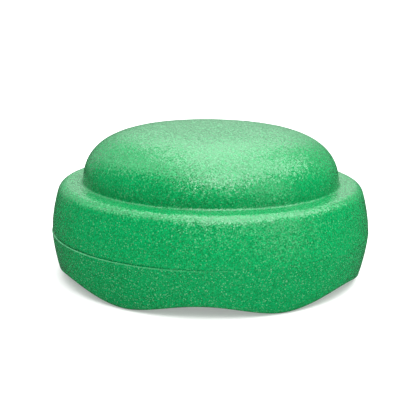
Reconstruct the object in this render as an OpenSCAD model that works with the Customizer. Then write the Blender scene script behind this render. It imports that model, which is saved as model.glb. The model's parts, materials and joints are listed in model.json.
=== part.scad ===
// Stackable balance pad: a round, hollow stepping stone of moulded bead foam.
// A flat-crowned dome stands on a shoulder, and the shoulder carries the feet of the next pad.
// Two mouldings, an upper shell and a base ring, are bonded face to face at the girth.
// Millimetres. Z is up, the floor is at z = 0, and one foot lies on each side of the X axis.

/* [Overall] */
// Diameter at the girth, the widest level
girth_d = 275; // [268:1:290]
// Height of the girth and of the joint between the two mouldings
girth_z = 41.4; // [36:0.2:46]
// Height of the flat shoulder round the dome
shoulder_z = 81.4; // [76:0.2:86]
// Height of the dome above the shoulder
dome_rise = 46; // [40:1:52]

/* [Outer walls] */
// Diameter of the lower wall where it meets the floor
foot_d = 257.4; // [254:0.2:262]
// Diameter of the upper wall where it meets the shoulder, before rounding
shoulder_d = 259; // [256:0.2:264]
// How far each wall bows out of straight
wall_bow = 1.4; // [0:0.1:2.5]
// Radius of the shoulder's outer edge
shoulder_round = 9.2; // [5:0.1:12]
// Radius of the outer edge under the feet
foot_round = 6; // [3:0.5:8]

/* [Dome] */
// Diameter of the dome at the shoulder
dome_d = 220.6; // [214:0.2:224]
// Squareness of the dome's side: 2 is an ellipse, more is straighter
dome_side_power = 3.9; // [2.5:0.1:5]
// Flatness of the dome's crown: 2 is an ellipse, more is flatter
dome_crown_power = 2.3; // [2:0.1:3]
// Radius of the hollow corner where the dome meets the shoulder
crease_round = 2; // [1:0.5:3]

/* [Feet] */
// Number of feet, with an arch between each two
foot_count = 6; // [5:1:7]
// Height of each arch at its middle
arch_rise = 9.5; // [6:0.5:12]
// Width of each arch as a share of the distance between two feet
arch_share = 0.9; // [0.7:0.02:0.96]
// Fullness of the arches: 1 is a plain wave, less gives narrower feet
arch_fullness = 0.68; // [0.6:0.02:1.2]

/* [Hollow underneath] */
// Diameter of the socket at the floor: it takes the dome of the pad below
socket_d = 226; // [224:0.5:230]
// How much narrower the socket is at its ceiling, for draft
socket_draft = 3; // [1:0.5:4]
// Height of the socket's ceiling
socket_z = 61; // [56:1:64]
// Radius between the socket's wall and its ceiling
socket_round = 12; // [6:1:14]
// Diameter of the crown's hollow, above the socket
hollow_d = 180; // [160:2:186]
// Thickness of the foam at the top of the dome
crown_t = 20; // [14:1:26]
// Radius of the edges round both openings
lip_round = 3; // [1:0.5:5]

/* [Bonded joint] */
// Diameter of the circle along the middle of the locating tongue
tongue_d = 250; // [244:1:254]
// Width of the tongue
tongue_w = 8; // [5:0.5:10]
// Height of the tongue
tongue_h = 6; // [3:0.5:9]
// Clearance round the tongue in its groove
tongue_gap = 0.3; // [0.1:0.1:0.8]
// Size of the bevel on each moulding's outer edge at the joint
joint_bevel = 0.6; // [0.3:0.1:1.5]
// How far the ring's edge stands out beyond the shell's at the joint
joint_step = 0.4; // [0:0.1:1]

/* [Hidden] */
$fn = 180;

girth_r = girth_d / 2;
foot_r = foot_d / 2;
shoulder_r = shoulder_d / 2;
dome_r = dome_d / 2;
socket_r = socket_d / 2;
socket_top_r = socket_r - socket_draft / 2;
hollow_r = hollow_d / 2;
hollow_rise = shoulder_z + dome_rise - crown_t - socket_z;
arch_half = girth_r * sin(180 / foot_count) * arch_share * foot_d / girth_d;
wall_steps = 12;
arc_steps = 8;
dome_steps = 32;
arch_steps = 28;
foam_green = [0.15, 0.62, 0.36];

// Points of an arc in the outline's plane, from angle a0 to a1
function arc(centre, r, a0, a1) =
    [for (i = [0:arc_steps]) let (a = a0 + (a1 - a0) * i / arc_steps) centre + r * [cos(a), sin(a)]];

// Points that round the corner at b, between straight stretches from a and to c
function rounded(a, b, c, r) =
    let (
        u = (a - b) / norm(a - b),
        v = (c - b) / norm(c - b),
        half = acos(u * v) / 2,
        centre = b + (u + v) / norm(u + v) * r / sin(half),
        s = b + u * r / tan(half) - centre,
        e = b + v * r / tan(half) - centre,
        a0 = atan2(s[1], s[0]),
        turn = atan2(e[1], e[0]) - a0,
        sweep = turn > 180 ? turn - 360 : turn < -180 ? turn + 360 : turn
    )
    arc(centre, r, a0, a0 + sweep);

// A point on a gently bowed wall between two ends, t from 0 to 1
function bowed(p, q, t) = p + (q - p) * t + [wall_bow * 4 * t * (1 - t), 0];

// Radius of the socket's wall at a height
function socket_r_at(z) = socket_r + (socket_top_r - socket_r) * z / socket_z;

// A dome's outline from its edge to its pole, evenly spread along the crown
function dome_outline(r, rise, z0) =
    [for (i = [1:dome_steps]) let (a = 90 * (1 - pow(1 - i / dome_steps, 2)))
        [r * pow(max(cos(a), 0), 2 / dome_side_power), z0 + rise * pow(sin(a), 2 / dome_crown_power)]];

function reversed(points) = [for (i = [len(points) - 1:-1:0]) points[i]];

// ---- upper shell: dome, shoulder and the wall down to the girth ----

// A point on the shell's wall, t from 0 at the girth to 1 at the shoulder: its foot is tucked in by the step
function shell_wall(t) =
    bowed([girth_r, girth_z], [shoulder_r, shoulder_z], t) - [joint_step * pow(1 - t, 6), 0];

function upper_outside() =
    let (
        wall = [for (i = [1:wall_steps]) shell_wall(0.8 * i / wall_steps)],
        corner = rounded(shell_wall(0.8), [shoulder_r, shoulder_z], [dome_r, shoulder_z], shoulder_round),
        crease = arc([dome_r + crease_round, shoulder_z + crease_round], crease_round, 270, 180)
    )
    concat(
        [shell_wall(0) - [joint_bevel, 0], shell_wall(0) + [0, joint_bevel]],
        [for (p = wall) if (p[1] < corner[0][1] - 1) p],
        corner, crease, dome_outline(dome_r, dome_rise, shoulder_z)
    );

function upper_inside() =
    let (
        ceiling = [socket_top_r, socket_z],
        lip = [hollow_r, socket_z],
        inner_dome = [for (p = reversed(dome_outline(hollow_r, hollow_rise, socket_z)))
            if (p[1] > socket_z + lip_round) p]
    )
    concat(
        inner_dome,
        arc([hollow_r + lip_round, socket_z + lip_round], lip_round, 180, 270),
        rounded(lip, ceiling, [socket_r_at(girth_z), girth_z], socket_round),
        [[socket_r_at(girth_z), girth_z]]
    );

function groove_outline() =
    let (
        r0 = tongue_d / 2 - tongue_w / 2 - tongue_gap,
        r1 = tongue_d / 2 + tongue_w / 2 + tongue_gap,
        top = girth_z + tongue_h + tongue_gap
    )
    [[r0, girth_z], [r0, top], [r1, top], [r1, girth_z]];

module upper_shell() {
    color(foam_green)
        rotate_extrude()
            polygon(concat(upper_outside(), upper_inside(), groove_outline()));
}

// ---- base ring: the wall from the girth down to the feet ----

function ring_outside() =
    let (
        girth = [girth_r, girth_z],
        toe = [foot_r, 0],
        low = bowed(toe, girth, 0.3),
        wall = [for (i = [1:wall_steps - 1]) bowed(toe, girth, 1 - 0.7 * i / wall_steps)],
        corner = rounded(low, toe, [socket_r, 0], foot_round)
    )
    concat(
        [[girth_r - joint_bevel, girth_z], [girth_r, girth_z - joint_bevel]],
        wall, corner
    );

function ring_inside() =
    concat(
        rounded([foot_r, 0], [socket_r, 0], [socket_r_at(girth_z), girth_z], lip_round),
        [[socket_r_at(girth_z), girth_z]]
    );

function tongue_outline() =
    let (
        r0 = tongue_d / 2 - tongue_w / 2,
        r1 = tongue_d / 2 + tongue_w / 2,
        top = girth_z + tongue_h
    )
    [[r0, girth_z], [r0, top], [r1, top], [r1, girth_z]];

// Height of an arch at a distance t to the side of its middle
function arch_height(t) = arch_rise * pow((1 + cos(180 * t / arch_half)) / 2, arch_fullness);

// The space under one arch, a straight channel along +X through the wall
module arch_space() {
    below = 1;
    from_x = socket_r / 2;
    outline = [for (i = [0:arch_steps]) let (t = arch_half * (2 * i / arch_steps - 1)) [t, arch_height(t)]];
    translate([from_x, 0, 0])
        rotate([90, 0, 90])
            linear_extrude(height = girth_r - from_x + 1)
                polygon(concat(outline, [[arch_half, -below], [-arch_half, -below]]));
}

module base_ring() {
    color(foam_green)
        difference() {
            rotate_extrude()
                polygon(concat(ring_outside(), ring_inside(), tongue_outline()));
            for (i = [0:foot_count - 1])
                rotate([0, 0, (i + 0.5) * 360 / foot_count])
                    arch_space();
        }
}

upper_shell();
base_ring();
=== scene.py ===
import json
import math
from collections import namedtuple

import bpy
import numpy as np
from mathutils import Matrix, Vector, noise


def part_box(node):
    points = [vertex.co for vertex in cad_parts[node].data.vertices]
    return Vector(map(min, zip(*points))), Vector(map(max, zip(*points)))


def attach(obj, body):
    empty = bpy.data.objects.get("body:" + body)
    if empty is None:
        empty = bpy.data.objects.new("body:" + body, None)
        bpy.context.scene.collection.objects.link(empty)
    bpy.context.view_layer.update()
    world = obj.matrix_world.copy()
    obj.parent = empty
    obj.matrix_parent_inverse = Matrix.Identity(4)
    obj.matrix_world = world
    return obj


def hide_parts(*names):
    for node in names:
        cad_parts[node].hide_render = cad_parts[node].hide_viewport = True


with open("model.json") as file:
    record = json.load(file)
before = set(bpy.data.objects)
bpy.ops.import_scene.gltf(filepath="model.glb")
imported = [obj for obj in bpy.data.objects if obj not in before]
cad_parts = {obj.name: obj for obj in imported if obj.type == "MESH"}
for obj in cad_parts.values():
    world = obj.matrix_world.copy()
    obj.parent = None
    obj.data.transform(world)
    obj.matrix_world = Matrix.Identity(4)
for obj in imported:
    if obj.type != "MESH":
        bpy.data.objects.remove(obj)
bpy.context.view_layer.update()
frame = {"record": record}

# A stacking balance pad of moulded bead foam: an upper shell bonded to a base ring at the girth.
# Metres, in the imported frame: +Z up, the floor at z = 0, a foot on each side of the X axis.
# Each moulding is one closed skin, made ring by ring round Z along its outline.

# ---------------------------------------------------------------- sizes

# From the frame
girth_r = frame["record"]["size"]["bbox_m"][0] / 2
top_z = frame["record"]["size"]["bbox_m"][2]
girth_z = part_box("upper_shell")[0].z
tongue_top_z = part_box("base_ring")[1].z
mount_places = {m["name"]: m["pos_m"] for m in frame["record"]["mounts"]}
shoulder_z = mount_places["shoulder"][2]

# Outer walls
FOOT_R = 0.1287
SHOULDER_R = 0.1295
WALL_BOW = 0.0014
SHOULDER_ROUND = 0.0092
FOOT_ROUND = 0.006

# Dome
DOME_R = 0.1103
DOME_SIDE_POWER = 3.9
DOME_CROWN_POWER = 2.3
CREASE_ROUND = 0.002

# Wavy rim
FEET = 6
ARCH_RISE = 0.0095
ARCH_FULLNESS = 0.92

# Hollow underneath
SOCKET_R = 0.113
SOCKET_TOP_R = 0.1115
SOCKET_Z = 0.061
SOCKET_ROUND = 0.012
HOLLOW_R = 0.090
CROWN_THICK = 0.020
LIP_ROUND = 0.003

# Bonded joint: the tongue, then the open line where the joint is widest. Each moulding's lip is drawn back
# from the joint's plane, the ring's edge is bevelled, and the shell's wall is set in behind it.
TONGUE_INNER_R = 0.121
TONGUE_OUTER_R = 0.129
TONGUE_GAP = 0.0003
JOINT_LIP = 0.0006
JOINT_DEPTH = 0.0020
RING_BEVEL = 0.0008
JOINT_STEP = 0.0007
WIDEST_AT = math.radians(195)
NEARLY_CLOSED = 0.06

# Spacing of the skin's rings: outside, inside, and round the crease, the inner lip and the ceiling's edge.
# Then the points round a ring: outside, inside, and the fewest that a ring near a pole is halved to.
OUTSIDE_STEP = 0.0015
INSIDE_STEP = 0.003
CREASE_STEP = 0.0008
LIP_STEP = 0.0012
CEILING_STEP = 0.002
OUTSIDE_POINTS = 576
INSIDE_POINTS = 288
FEWEST_POINTS = 9

# ---------------------------------------------------------------- outlines

# A ring of a skin: radius and height are numbers or functions of the angle round Z,
# relief is the share of the foam's unevenness that the ring takes, and points its point count.
Ring = namedtuple("Ring", "radius height relief points")


def arc(centre, radius, start, end, step):
    """Points of an arc in the outline's plane, from one angle in degrees to another."""
    count = max(2, math.ceil(radius * abs(math.radians(end - start)) / step))
    angles = np.radians(np.linspace(start, end, count + 1))
    return [(centre[0] + radius * math.cos(a), centre[1] + radius * math.sin(a)) for a in angles]


def rounded(before, corner, after, radius, step):
    """Points that round a corner between two straight stretches."""
    before, corner, after = (np.array(p, float) for p in (before, corner, after))
    u = (before - corner) / np.linalg.norm(before - corner)
    v = (after - corner) / np.linalg.norm(after - corner)
    half = math.acos(float(u @ v)) / 2
    centre = corner + (u + v) / np.linalg.norm(u + v) * radius / math.sin(half)
    first = corner + u * radius / math.tan(half) - centre
    last = corner + v * radius / math.tan(half) - centre
    start = math.degrees(math.atan2(first[1], first[0]))
    turn = math.degrees(math.atan2(last[1], last[0])) - start
    turn = (turn + 180) % 360 - 180
    return arc(centre, radius, start, start + turn, step)


def line(start, end, step):
    """Points from start to end, without start itself."""
    length = math.dist(start, end)
    count = max(1, math.ceil(length / step))
    return [tuple(np.array(start) + (np.array(end) - start) * i / count) for i in range(1, count + 1)]


def bowed_radius(lower, upper, share):
    """Radius of a gently bowed wall, at a share of its height."""
    return lower + (upper - lower) * share + WALL_BOW * 4 * share * (1 - share)


def spaced(outline, step):
    """The same outline with its points a step apart."""
    outline = np.array(outline)
    run = np.concatenate([[0], np.cumsum(np.linalg.norm(np.diff(outline, axis=0), axis=1))])
    places = np.linspace(0, run[-1], max(2, math.ceil(run[-1] / step)) + 1)
    return list(zip(np.interp(places, run, outline[:, 0]), np.interp(places, run, outline[:, 1])))


def dome_outline(radius, rise, base_z, step):
    """A dome from its edge to its pole: straight sides, round shoulders and a flat crown."""
    share = np.linspace(0, 1, 400)
    angles = np.radians(90 * (1 - (1 - share) ** 2))
    r = radius * np.clip(np.cos(angles), 0, 1) ** (2 / DOME_SIDE_POWER)
    z = base_z + rise * np.sin(angles) ** (2 / DOME_CROWN_POWER)
    return spaced(np.stack([r, z], 1), step)


def arch_height(angle):
    """Height of the rim's lower edge round the pad: nothing at the feet."""
    return ARCH_RISE * ((1 - np.cos(FEET * angle)) / 2) ** ARCH_FULLNESS


def socket_radius(height):
    """Radius of the socket's drafted wall at a height."""
    return SOCKET_R + (SOCKET_TOP_R - SOCKET_R) * height / SOCKET_Z


def joint_opening(angle):
    """How open the joint is round the pad: 1 at the left, hardly anything from the front to the right."""
    nearness = (1 + np.cos(angle - WIDEST_AT)) / 2
    return NEARLY_CLOSED + (1 - NEARLY_CLOSED) * nearness ** 4


def joint_ring(into, up, relief):
    """A ring at the joint: how far in from the girth's edge and how far up, where the joint is widest."""
    return Ring(
        lambda a: girth_r - into * joint_opening(a),
        lambda a: girth_z + up * joint_opening(a),
        relief,
        OUTSIDE_POINTS,
    )


def points_at(radius, outside):
    """How many points a ring has: halved as often as the ring's size halves."""
    full = OUTSIDE_POINTS if outside else INSIDE_POINTS
    size = radius / girth_r
    while size < 0.5 and full > FEWEST_POINTS:
        full //= 2
        size *= 2
    return full


# ---------------------------------------------------------------- skins


def shell_rings():
    """The upper shell's skin, from the dome's pole down the outside and back up the inside."""
    edge = (SHOULDER_R, shoulder_z)
    wall_height = shoulder_z - girth_z

    # share runs from 0 at the girth to 1 at the shoulder's edge
    def wall_point(share):
        return bowed_radius(girth_r, SHOULDER_R, share), girth_z + wall_height * share

    def wall_row(share):
        radius, height = wall_point(share)
        tuck = JOINT_STEP * (1 - share) ** 6
        return Ring(lambda a: radius - tuck * joint_opening(a), height, 1.0, OUTSIDE_POINTS)

    corner = rounded(wall_point(0.8), edge, (DOME_R, shoulder_z), SHOULDER_ROUND, OUTSIDE_STEP)
    above_lip = 2.5 * JOINT_LIP
    first_share = above_lip / wall_height
    last_share = (corner[0][1] - girth_z - OUTSIDE_STEP) / wall_height
    wall_rows = math.ceil(wall_height * (last_share - first_share) / OUTSIDE_STEP)
    crease_centre = (DOME_R + CREASE_ROUND, shoulder_z + CREASE_ROUND)
    crease = arc(crease_centre, CREASE_ROUND, 270, 180, CREASE_STEP)
    dome = [p for p in dome_outline(DOME_R, top_z - shoulder_z, shoulder_z, OUTSIDE_STEP)
            if p[1] > crease[-1][1] + OUTSIDE_STEP / 3]
    shelf = line(corner[-1], crease[0], OUTSIDE_STEP)[:-1]
    outside = corner + shelf + crease + dome

    hollow_top = top_z - CROWN_THICK
    inner_dome = [p for p in dome_outline(HOLLOW_R, hollow_top - SOCKET_Z, SOCKET_Z, INSIDE_STEP)
                  if p[1] > SOCKET_Z + LIP_ROUND]
    lip = arc((HOLLOW_R + LIP_ROUND, SOCKET_Z + LIP_ROUND), LIP_ROUND, 180, 270, LIP_STEP)
    foot_of_wall = (socket_radius(girth_z), girth_z)
    ceiling = (SOCKET_TOP_R, SOCKET_Z)
    ceiling_edge = rounded((HOLLOW_R, SOCKET_Z), ceiling, foot_of_wall, SOCKET_ROUND, CEILING_STEP)
    inside = inner_dome[::-1] + lip + line(lip[-1], ceiling_edge[0], INSIDE_STEP)[:-1] + ceiling_edge
    inside += line(ceiling_edge[-1], foot_of_wall, INSIDE_STEP)[:-1]

    rings = [Ring(0.0, top_z, 1.0, 1)]
    rings += [Ring(r, z, 1.0, points_at(r, True)) for r, z in outside[::-1][1:]]
    rings += [wall_row(share) for share in np.linspace(last_share, first_share, wall_rows)]

    # The lip of the joint, then the groove for the tongue
    under_lip = JOINT_STEP + 0.1 * (JOINT_DEPTH - JOINT_STEP)
    rings.append(joint_ring(JOINT_STEP, 1.3 * JOINT_LIP, 0.3))
    rings.append(joint_ring(under_lip, JOINT_LIP, 0.0))
    rings.append(joint_ring(JOINT_DEPTH, 0.0, 0.0))
    groove_top = tongue_top_z + TONGUE_GAP
    for r, z in (
        (TONGUE_OUTER_R + TONGUE_GAP, girth_z),
        (TONGUE_OUTER_R + TONGUE_GAP, groove_top),
        (TONGUE_INNER_R - TONGUE_GAP, groove_top),
        (TONGUE_INNER_R - TONGUE_GAP, girth_z),
        foot_of_wall,
    ):
        rings.append(Ring(r, z, 0.0, INSIDE_POINTS))

    # The socket's wall and ceiling keep all their points: only the crown's hollow has fewer
    rings += [Ring(r, z, 0.5, points_at(r * girth_r / HOLLOW_R, False)) for r, z in inside[::-1][:-1]]
    rings.append(Ring(0.0, hollow_top, 0.5, 1))
    return rings


def ring_rings():
    """The base ring's skin: down its outside, under the wavy rim and up the socket's wall to the joint."""
    bow_at_foot = 3.5 * WALL_BOW
    lean = math.atan((girth_r - FOOT_R + bow_at_foot) / girth_z)
    wall_top = girth_z - 2.0 * RING_BEVEL
    wall_rows, round_rows, sole_rows, lip_rows, inner_rows = 25, 6, 5, 4, 13

    def wall_radius(height):
        return bowed_radius(FOOT_R, girth_r, height / girth_z)

    def wall_start(angle):
        return arch_height(angle) + FOOT_ROUND * (1 - math.sin(lean))

    # The wall: share is 1 under the bevel and 0 where the foot's rounding starts
    def wall_row(share):
        def height(angle):
            return wall_start(angle) + (wall_top - wall_start(angle)) * share

        return Ring(lambda a: wall_radius(height(a)), height, 1.0, OUTSIDE_POINTS)

    def round_centre(angle):
        return wall_radius(wall_start(angle)) - FOOT_ROUND * math.cos(lean)

    # The rounding under the wall: turn is the angle below level
    def round_row(turn):
        return Ring(
            lambda a: round_centre(a) + FOOT_ROUND * math.cos(turn),
            lambda a: arch_height(a) + FOOT_ROUND * (1 + math.sin(turn)),
            max(0.0, 1 + math.sin(turn)),
            OUTSIDE_POINTS,
        )

    # The sole, from the rounding to the socket's lip
    def sole_row(share):
        return Ring(
            lambda a: round_centre(a) + (SOCKET_R + LIP_ROUND - round_centre(a)) * share,
            arch_height,
            0.0,
            OUTSIDE_POINTS,
        )

    # The lip round the socket's mouth
    def lip_row(turn):
        return Ring(
            lambda a: SOCKET_R + LIP_ROUND * (1 + math.cos(turn)),
            lambda a: arch_height(a) + LIP_ROUND * (1 + math.sin(turn)),
            0.0,
            OUTSIDE_POINTS,
        )

    # The socket's wall, from the lip up to the joint
    def inner_row(share):
        def height(angle):
            start = arch_height(angle) + LIP_ROUND
            return start + (girth_z - start) * share

        return Ring(lambda a: socket_radius(height(a)), height, 0.5, OUTSIDE_POINTS)

    rings = [joint_ring(JOINT_DEPTH, 0.0, 0.0)]
    for into, down in ((1.0, 0.0), (0.8, 0.05), (0.3, 0.3), (0.0, 1.0)):
        rings.append(joint_ring(into * RING_BEVEL, -JOINT_LIP - down * RING_BEVEL, 0.0))
    rings += [wall_row(share) for share in np.linspace(1, 0, wall_rows + 1)]
    rings += [round_row(turn) for turn in np.linspace(-lean, -math.pi / 2, round_rows + 1)[1:]]
    rings += [sole_row(share) for share in np.linspace(0, 1, sole_rows + 1)[1:]]
    rings += [lip_row(turn) for turn in np.linspace(-math.pi / 2, -math.pi, lip_rows + 1)[1:]]
    rings += [inner_row(share) for share in np.linspace(0, 1, inner_rows + 1)[1:]]
    for r, z in (
        (TONGUE_INNER_R, girth_z),
        (TONGUE_INNER_R, tongue_top_z),
        (TONGUE_OUTER_R, tongue_top_z),
        (TONGUE_OUTER_R, girth_z),
    ):
        rings.append(Ring(r, z, 0.0, OUTSIDE_POINTS))
    return rings


def ring_places(ring):
    """A ring's points in space."""
    angles = 2 * math.pi * np.arange(ring.points) / ring.points
    radius = ring.radius(angles) if callable(ring.radius) else ring.radius
    height = ring.height(angles) if callable(ring.height) else ring.height
    ones = np.ones(ring.points)
    return np.stack([radius * np.cos(angles), radius * np.sin(angles), height * ones], 1)


def faces_between(a, a_count, b, b_count):
    """Faces from ring a to ring b, given by their first points. One may have twice the other's points."""
    if b_count == 1:
        return [(a + i, a + (i + 1) % a_count, b) for i in range(a_count)]
    if a_count == 1:
        return [(a, b + (i + 1) % b_count, b + i) for i in range(b_count)]
    if a_count == b_count:
        return [(a + i, a + (i + 1) % a_count, b + (i + 1) % a_count, b + i) for i in range(a_count)]
    faces = []
    if a_count > b_count:
        for i in range(b_count):
            fine = [a + (2 * i + k) % a_count for k in range(3)]
            coarse = [b + i, b + (i + 1) % b_count]
            faces += [
                (fine[0], fine[1], coarse[0]),
                (fine[1], coarse[1], coarse[0]),
                (fine[1], fine[2], coarse[1]),
            ]
    else:
        for i in range(a_count):
            coarse = [a + i, a + (i + 1) % a_count]
            fine = [b + (2 * i + k) % b_count for k in range(3)]
            faces += [
                (coarse[0], coarse[1], fine[1]),
                (coarse[0], fine[1], fine[0]),
                (coarse[1], fine[2], fine[1]),
            ]
    return faces


# The foam's unevenness: height, width and place in the noise of the slow swell, the ripple and the beads
RELIEF = (
    (0.00016, 0.032, Vector((0, 0, 0))),
    (0.00006, 0.011, Vector((7, 3, 1))),
    (0.00004, 0.0042, Vector((2, 9, 5))),
)


def foam_relief(place):
    """How far the moulded skin stands out at a point."""
    return sum(height * noise.noise(place / width + shift) for height, width, shift in RELIEF)


def build_skin(name, rings, closed):
    """A mesh object from rings. A closed outline joins its last ring to its first, an open one has two poles.

    Each point is then moved along its normal by its ring's share of the foam's relief.
    """
    first = []
    places = []
    relief = []
    for ring in rings:
        first.append(len(places))
        places.extend(ring_places(ring))
        relief.extend([ring.relief] * ring.points)
    faces = []
    pairs = list(zip(range(len(rings) - 1), range(1, len(rings))))
    if closed:
        pairs.append((len(rings) - 1, 0))
    for i, j in pairs:
        faces += faces_between(first[i], rings[i].points, first[j], rings[j].points)

    mesh = bpy.data.meshes.new(name)
    mesh.from_pydata([tuple(p) for p in places], [], faces)
    mesh.update()
    corners = np.array([places[f[0]] for f in faces])
    normals = np.array([p.normal for p in mesh.polygons])
    areas = np.array([p.area for p in mesh.polygons])
    if (corners * normals).sum(1) @ areas < 0:
        mesh.flip_normals()
        mesh.update()
    moved = []
    for vertex, share in zip(mesh.vertices, relief):
        moved.extend(vertex.co + vertex.normal * (share * foam_relief(vertex.co)))
    mesh.vertices.foreach_set("co", moved)
    mesh.polygons.foreach_set("use_smooth", [True] * len(faces))
    mesh.update()
    piece = bpy.data.objects.new(name, mesh)
    bpy.context.scene.collection.objects.link(piece)
    return piece


# ---------------------------------------------------------------- materials


class Nodes:
    """A node tree, with a call for each kind of node that the materials use."""

    def __init__(self, tree):
        self.tree = tree
        self.tree.nodes.clear()

    def add(self, kind, **settings):
        node = self.tree.nodes.new(kind)
        for key, value in settings.items():
            setattr(node, key, value)
        return node

    def put(self, socket, value):
        """Sets an input, from another node's output or from a plain value."""
        if isinstance(value, bpy.types.NodeSocket):
            self.tree.links.new(value, socket)
        else:
            socket.default_value = value

    def math(self, operation, a, b):
        node = self.add("ShaderNodeMath", operation=operation)
        self.put(node.inputs[0], a)
        self.put(node.inputs[1], b)
        return node.outputs[0]

    def ramp(self, value, low, high, out_low=0.0, out_high=1.0):
        """Maps low..high to out_low..out_high with soft ends."""
        node = self.add("ShaderNodeMapRange", interpolation_type="SMOOTHSTEP")
        for socket, v in zip(node.inputs, (value, low, high, out_low, out_high)):
            self.put(socket, v)
        return node.outputs[0]

    def mix(self, share, a, b, blend="MIX"):
        """Mixes two colours: the node's inputs 6 and 7 and its output 2."""
        node = self.add("ShaderNodeMix", data_type="RGBA", blend_type=blend)
        self.put(node.inputs[0], share)
        self.put(node.inputs[6], a)
        self.put(node.inputs[7], b)
        return node.outputs[2]

    def vector(self, operation, a, b=(0, 0, 0)):
        node = self.add("ShaderNodeVectorMath", operation=operation)
        self.put(node.inputs[0], a)
        self.put(node.inputs[1], b)
        return node.outputs["Value" if operation == "DOT_PRODUCT" else "Vector"]

    def channels(self, color):
        """Three plain values out of a colour."""
        node = self.add("ShaderNodeSeparateColor")
        self.put(node.inputs[0], color)
        return node.outputs

    def cells(self, vector, size, feature="F1"):
        node = self.add("ShaderNodeTexVoronoi", feature=feature)
        self.put(node.inputs["Vector"], vector)
        self.put(node.inputs["Scale"], 1 / size)
        return node

    def noise(self, vector, size, detail=2.0):
        node = self.add("ShaderNodeTexNoise")
        self.put(node.inputs["Vector"], vector)
        self.put(node.inputs["Scale"], 1 / size)
        self.put(node.inputs["Detail"], detail)
        return node.outputs["Fac"]

    def bump(self, height, distance, normal):
        node = self.add("ShaderNodeBump")
        self.put(node.inputs["Height"], height)
        self.put(node.inputs["Distance"], distance)
        self.put(node.inputs["Strength"], 1.0)
        self.put(node.inputs["Normal"], normal)
        return node.outputs[0]


# Sizes of the foam's beads, of the grains and glinting facets of its skin, and of its patches of tone
BEAD_SIZE = 0.0032
GRAIN_SIZE = 0.0008
FACET_SIZE = 0.0009
CLOUD_SIZE = 0.045

# The spread of a facet's lean along each axis, as a share of the normal, and the heights of the fine relief
FACET_TILT = 0.38
SEAM_DEPTH = 0.00003
GRAIN_HEIGHT = 0.04 * GRAIN_SIZE
PORE_DEPTH = 0.00002

# Greens of the foam, in linear light
DARK_GRAIN = (0.0, 0.145, 0.034, 1)
LIGHT_GRAIN = (0.0, 0.325, 0.088, 1)
DARK_BEAD = (0.0, 0.190, 0.052, 1)
CLOUD = (0.0, 0.270, 0.076, 1)
PINHOLE = (0.0, 0.100, 0.026, 1)
# Pale flecks: pale beads in part, painted glints in part
PALE_FLECK_AND_GLINT = (0.140, 0.420, 0.220, 1)
# Painted highlight for the ring's bevel under the joint
BEVEL_HIGHLIGHT_PAINT = (0.100, 0.420, 0.205, 1)

# Where the painted highlight on the ring's bevel is full, and where it is gone again, along X
HIGHLIGHT_FULL_FROM = -0.12
HIGHLIGHT_GONE_AT = 0.04


def painted_bevel_highlight(n, place, grain, top):
    """Where a highlight is painted on the ring's bevel: a thin paler band under the joint, which fades out to
    the right.
    """
    bevel_top = top - JOINT_LIP
    bevel_foot = bevel_top - RING_BEVEL
    axes = n.add("ShaderNodeSeparateXYZ")
    n.put(axes.inputs[0], place)
    from_below = n.ramp(axes.outputs["Z"], bevel_foot - 0.0002, bevel_foot + 0.0002)
    from_above = n.ramp(axes.outputs["Z"], bevel_top + 0.0001, bevel_top - 0.0001)
    leftness = n.ramp(axes.outputs["X"], HIGHLIGHT_GONE_AT, HIGHLIGHT_FULL_FROM)
    band = n.math("MULTIPLY", n.math("MULTIPLY", from_below, from_above), leftness)
    return n.math("MULTIPLY", band, n.ramp(grain, 0.0, 1.0, 0.3, 0.9))


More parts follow.
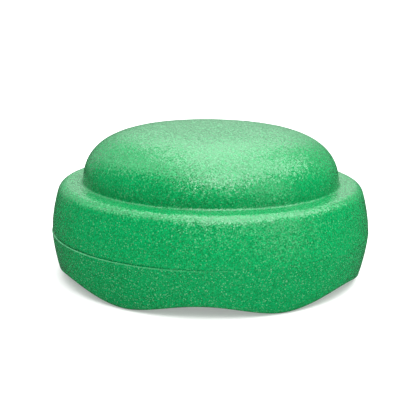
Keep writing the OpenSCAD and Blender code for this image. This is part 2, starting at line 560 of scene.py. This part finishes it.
def foam_material(name, shade, fleck_and_glint, highlight_below=None):
    """Green bead foam: fused beads under a fine moulded grain, every grain a little lighter or darker.

    shade scales the greens but not the bevel's painted highlight; next comes how strong the pale flecks are,
    which are pale beads in part and painted glints in part;
    and the last argument is the height that a bevel with a painted highlight lies under, if there is one.
    """
    material = bpy.data.materials.new(name)
    material.use_nodes = True
    n = Nodes(material.node_tree)
    place = n.add("ShaderNodeTexCoord").outputs["Object"]
    seams = n.cells(place, BEAD_SIZE, "DISTANCE_TO_EDGE").outputs["Distance"]
    bead = n.channels(n.cells(place, BEAD_SIZE).outputs["Color"])
    grains = n.cells(place, GRAIN_SIZE)
    grain = n.channels(grains.outputs["Color"])

    green = n.mix(grain[0], DARK_GRAIN, LIGHT_GRAIN)
    green = n.mix(n.ramp(bead[0], 0.0, 1.0, 0.0, 0.12), green, DARK_BEAD)
    green = n.mix(n.ramp(n.noise(place, CLOUD_SIZE, 3.0), 0.35, 0.65, 0.0, 0.25), green, CLOUD)
    # Pale flecks, which are pale beads in part and painted glints in part
    green = n.mix(n.math("MULTIPLY", n.math("POWER", grain[1], 14.0), fleck_and_glint), green, PALE_FLECK_AND_GLINT)
    pinhole = n.math("MULTIPLY", n.ramp(seams, 0.10, 0.0), n.ramp(grain[2], 0.45, 0.7))
    green = n.mix(n.math("MULTIPLY", pinhole, 0.45), green, PINHOLE)
    green = n.mix(1.0, green, (shade, shade, shade, 1), "MULTIPLY")
    # A highlight painted on the ring's bevel under the joint, fading out to the right
    if highlight_below is not None:
        green = n.mix(painted_bevel_highlight(n, place, grain[2], highlight_below), green, BEVEL_HIGHLIGHT_PAINT)

    facets = n.cells(place, FACET_SIZE).outputs["Color"]
    tilt = n.vector("MULTIPLY", n.vector("SUBTRACT", facets, (0.5, 0.5, 0.5)), (FACET_TILT,) * 3)
    smooth = n.add("ShaderNodeNewGeometry").outputs["Normal"]
    normal = n.vector("NORMALIZE", n.vector("ADD", smooth, tilt))
    normal = n.bump(n.ramp(seams, 0.0, 0.35), SEAM_DEPTH, normal)
    normal = n.bump(n.ramp(grains.outputs["Distance"], 0.75, 0.0), GRAIN_HEIGHT, normal)
    normal = n.bump(n.noise(place, 0.5 * GRAIN_SIZE), PORE_DEPTH, normal)

    shader = n.add("ShaderNodeBsdfPrincipled")
    n.put(shader.inputs["Base Color"], green)
    n.put(shader.inputs["Roughness"], n.ramp(grain[1], 0.0, 1.0, 0.10, 0.20))
    n.put(shader.inputs["Specular IOR Level"], 0.50)
    n.put(shader.inputs["Normal"], normal)
    output = n.add("ShaderNodeOutputMaterial")
    n.put(output.inputs["Surface"], shader.outputs[0])
    return material


# Light that the floor gives off by itself
FLOOR_GLOW = 0.35


def floor_material():
    """Pale matt paper that gives off a little light of its own, so that it comes out white round the pad."""
    material = bpy.data.materials.new("pale_floor")
    material.use_nodes = True
    n = Nodes(material.node_tree)
    place = n.add("ShaderNodeTexCoord").outputs["Object"]
    paper = n.mix(n.noise(place, 0.8), (0.65, 0.65, 0.65, 1), (0.67, 0.67, 0.67, 1))
    shader = n.add("ShaderNodeBsdfPrincipled")
    n.put(shader.inputs["Base Color"], paper)
    n.put(shader.inputs["Roughness"], 0.9)
    n.put(shader.inputs["Emission Color"], (1, 1, 1, 1))
    n.put(shader.inputs["Emission Strength"], FLOOR_GLOW)
    n.put(shader.inputs["Specular IOR Level"], 0.2)
    output = n.add("ShaderNodeOutputMaterial")
    n.put(output.inputs["Surface"], shader.outputs[0])
    return material


# ---------------------------------------------------------------- the pad

shell_foam = foam_material("shell_foam", 0.98, 0.5)
ring_foam = foam_material("ring_foam", 0.94, 0.7, highlight_below=girth_z)

for name, rings, closed, node, foam in (
    ("upper_shell_foam", shell_rings(), False, "upper_shell", shell_foam),
    ("base_ring_foam", ring_rings(), True, "base_ring", ring_foam),
):
    piece = build_skin(name, rings, closed)
    piece.data.materials.append(foam)
    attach(piece, "root")
    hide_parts(node)

# ---------------------------------------------------------------- stage, light and camera

# Half the floor's width
FLOOR_HALF = 20.0


def make_floor():
    """A wide square of paper. The foam doesn't mirror it, so the pad's sides stay deep green beside it."""
    mesh = bpy.data.meshes.new("floor")
    corners = [(-FLOOR_HALF, -FLOOR_HALF, 0), (FLOOR_HALF, -FLOOR_HALF, 0),
               (FLOOR_HALF, FLOOR_HALF, 0), (-FLOOR_HALF, FLOOR_HALF, 0)]
    mesh.from_pydata(corners, [], [(0, 1, 2, 3)])
    mesh.materials.append(floor_material())
    floor = bpy.data.objects.new("floor", mesh)
    floor.visible_glossy = False
    bpy.context.scene.collection.objects.link(floor)


# Soft round lights of the studio: place over the pad in degrees (0 is the front's horizon, 90 overhead,
# 180 the back's horizon), turn to the right in degrees, and strength. Each is full out to one half-angle
# and fades out to another.
LIGHT_FULL = math.radians(8)
LIGHT_EDGE = math.radians(24)
STUDIO_LIGHTS = (
    (35, 50, 2.5),
    (45, 5, 5.5),
    (65, 15, 7.5),
    (70, -15, 2.0),
    (85, -30, 1.6),
    (95, 0, 5.6),
    (105, 35, 7.0),
    (115, 0, 3.0),
    (115, -40, 2.2),
    (130, 0, 2.4),
    (150, 0, 1.2),
    (165, 0, 0.5),
    (160, -30, 0.6),
    (160, 30, 0.3),
)

# Faint light from everywhere, and how bright the sky is to the camera alone
FILL = 0.10
BACKDROP = 1.25


def make_world():
    """A dim studio with soft round lights all over the pad. To the camera alone its sky is white."""
    world = bpy.data.worlds.new("studio")
    world.use_nodes = True
    n = Nodes(world.node_tree)
    direction = n.add("ShaderNodeTexCoord").outputs["Generated"]
    total = FILL
    for over, turn, strength in STUDIO_LIGHTS:
        over, turn = math.radians(over), math.radians(turn)
        axis = (math.sin(turn), -math.cos(over) * math.cos(turn), math.sin(over) * math.cos(turn))
        nearness = n.vector("DOT_PRODUCT", direction, axis)
        disc = n.ramp(nearness, math.cos(LIGHT_EDGE), math.cos(LIGHT_FULL), 0.0, strength)
        total = n.math("ADD", total, disc)
    seen = n.add("ShaderNodeLightPath").outputs["Is Camera Ray"]
    background = n.add("ShaderNodeBackground")
    backdrop = n.math("MULTIPLY", seen, BACKDROP)
    n.put(background.inputs["Strength"], n.math("MAXIMUM", total, backdrop))
    output = n.add("ShaderNodeOutputWorld")
    n.put(output.inputs["Surface"], background.outputs[0])
    bpy.context.scene.world = world


# The camera's place round and above the pad and its tilt in degrees, its distance from the point it looks
# at, that point's height and its place along the camera's right, and the lens and film width in mm
AZIMUTH = 2.43
ELEVATION = 13.81
ROLL = 0.75
DISTANCE = 0.919
AIM_HEIGHT = 0.0564
AIM_RIGHT = -0.0022
LENS = 90.97
FILM_WIDTH = 36.0


def make_camera():
    """The photograph's view: a long lens a little above the shoulder, turned a little to the right."""
    azimuth, elevation, roll = (math.radians(v) for v in (AZIMUTH, ELEVATION, ROLL))
    right = Vector((math.cos(azimuth), math.sin(azimuth), 0))
    target = right * AIM_RIGHT + Vector((0, 0, AIM_HEIGHT))
    level = math.cos(elevation)
    back = Vector((math.sin(azimuth) * level, -math.cos(azimuth) * level, math.sin(elevation)))
    turn = back.to_track_quat("Z", "Y").to_matrix().to_4x4()
    place = Matrix.Translation(target + back * DISTANCE)
    data = bpy.data.cameras.new("camera")
    data.sensor_width = FILM_WIDTH
    data.lens = LENS
    data.clip_end = 100.0
    camera = bpy.data.objects.new("camera", data)
    camera.matrix_world = place @ turn @ Matrix.Rotation(roll, 4, "Z")
    bpy.context.scene.collection.objects.link(camera)
    bpy.context.scene.camera = camera


make_floor()
make_world()
make_camera()
bpy.context.scene.view_settings.view_transform = "Standard"
